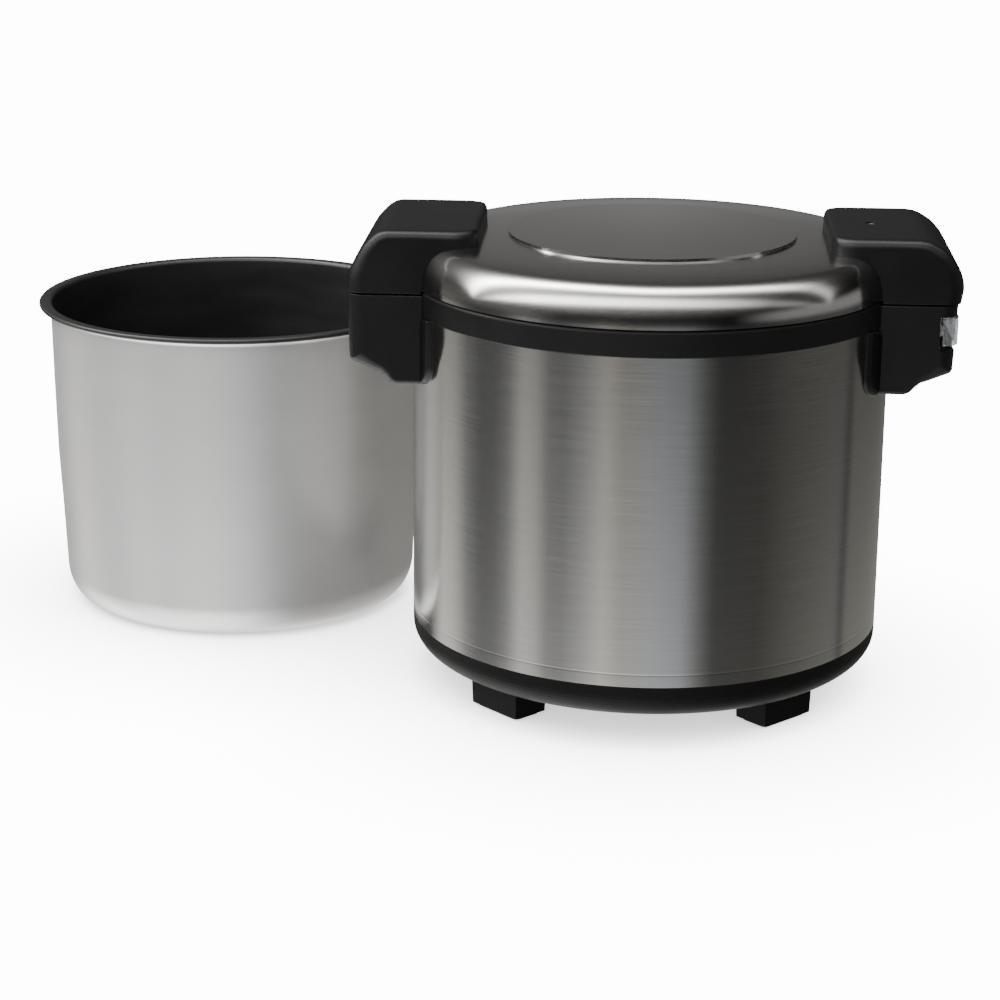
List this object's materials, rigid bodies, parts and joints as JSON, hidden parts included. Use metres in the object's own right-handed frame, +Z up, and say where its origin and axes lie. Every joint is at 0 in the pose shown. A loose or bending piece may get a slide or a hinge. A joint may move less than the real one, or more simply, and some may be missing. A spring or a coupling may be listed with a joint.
{
  "type": "rice cooker",
  "caption": "Drum-shaped commercial rice cooker with a hinged insulated lid, guarded power switch, heated well with a sprung thermostat, and a lift-out pot standing beside it.",
  "frame": {"origin": "on the floor plane, under the axis of the drum", "axes": "+Z up along the axis of the drum, +X from the hinge side towards the switch side, the pot stands towards -X and +Y"},
  "size_m": [0.7362, 0.5218, 0.358],
  "materials": {
    "black_plastic": "moulded black polypropylene, fine satin texture",
    "rubber_pads": "soft black rubber",
    "screw_steel": "plated steel fasteners",
    "brushed_steel": "brushed stainless steel, fine horizontal grain",
    "liner_steel": "aluminised steel sheet",
    "glass_wool": "glass fibre blanket",
    "cast_aluminium": "machined cast aluminium",
    "element_sheath": "heat-darkened steel sheath",
    "spring_steel": "bright spring steel",
    "ceramic_parts": "unglazed steatite",
    "wire_red": "silicone insulated wire",
    "rocker_white": "glossy white",
    "lamp_lens": "amber lens",
    "clear_guard": "clear moulded plastic",
    "lid_aluminium": "satin anodised",
    "silicone": "grey silicone",
    "pot_aluminium": "satin anodised outside, black non-stick inside and over the lip"
  },
  "bodies": {
    "cooker": {"base_pan": "black_plastic", "feet": "black_plastic", "foot_pads": "rubber_pads", "base_screws": "screw_steel", "steel_shell": "brushed_steel", "top_ring": "black_plastic", "well_liner": "liner_steel", "body_insulation": "glass_wool", "heater_plate": "cast_aluminium", "heating_element": "element_sheath", "heat_shield": "liner_steel", "plate_standoffs": "screw_steel", "sensor_housing": "liner_steel", "sensor_spring": "spring_steel", "thermal_fuse": "ceramic_parts", "terminal_block": "ceramic_parts", "wire_harness": "wire_red", "cord_gland": "black_plastic", "rear_housing": "black_plastic", "hinge_bracket": "liner_steel", "hinge_pin": "screw_steel", "control_housing": "black_plastic", "housing_screws": "screw_steel", "switch_bezel": "black_plastic", "switch_body": "black_plastic", "pilot_lamp": "lamp_lens", "guard_pin": "screw_steel"},
    "lid": {"lid_shell": "brushed_steel", "lid_rim": "black_plastic", "lid_inner_plate": "lid_aluminium", "lid_insulation": "glass_wool", "lid_gasket": "silicone", "rear_handle": "black_plastic", "front_handle": "black_plastic", "handle_screws": "screw_steel", "handle_nuts": "screw_steel"},
    "rocker": {"rocker_switch": "rocker_white"},
    "guard": {"switch_guard": "clear_guard"},
    "thermostat": {"sensor_plunger": "cast_aluminium"},
    "pot": {"inner_pot": "pot_aluminium"}
  },
  "joints": [
    {"name": "lid_hinge", "type": "hinge", "parent": "cooker", "child": "lid", "pos_m": [-0.219, 0, 0.319], "axis": [0, -1, 0], "range_deg": [0, 95]},
    {"name": "pot_lift", "type": "slide", "parent": "cooker", "child": "pot", "axis": [0, 0, 1], "range_m": [0, 0.05]},
    {"name": "thermostat_press", "type": "slide", "parent": "cooker", "child": "thermostat", "axis": [0, 0, 1], "range_m": [-0.006, 0], "stiffness_N_per_m": 600, "springref_m": 0.004, "deforming": ["sensor_spring"]},
    {"name": "power_rocker", "type": "hinge", "parent": "cooker", "child": "rocker", "pos_m": [0.209, -0.028, 0.2905], "axis": [0, 1, 0], "range_deg": [0, 24]},
    {"name": "guard_flap", "type": "hinge", "parent": "cooker", "child": "guard", "pos_m": [0.2212, 0, 0.2792], "axis": [0, 1, 0], "range_deg": [0, 90]}
  ]
}
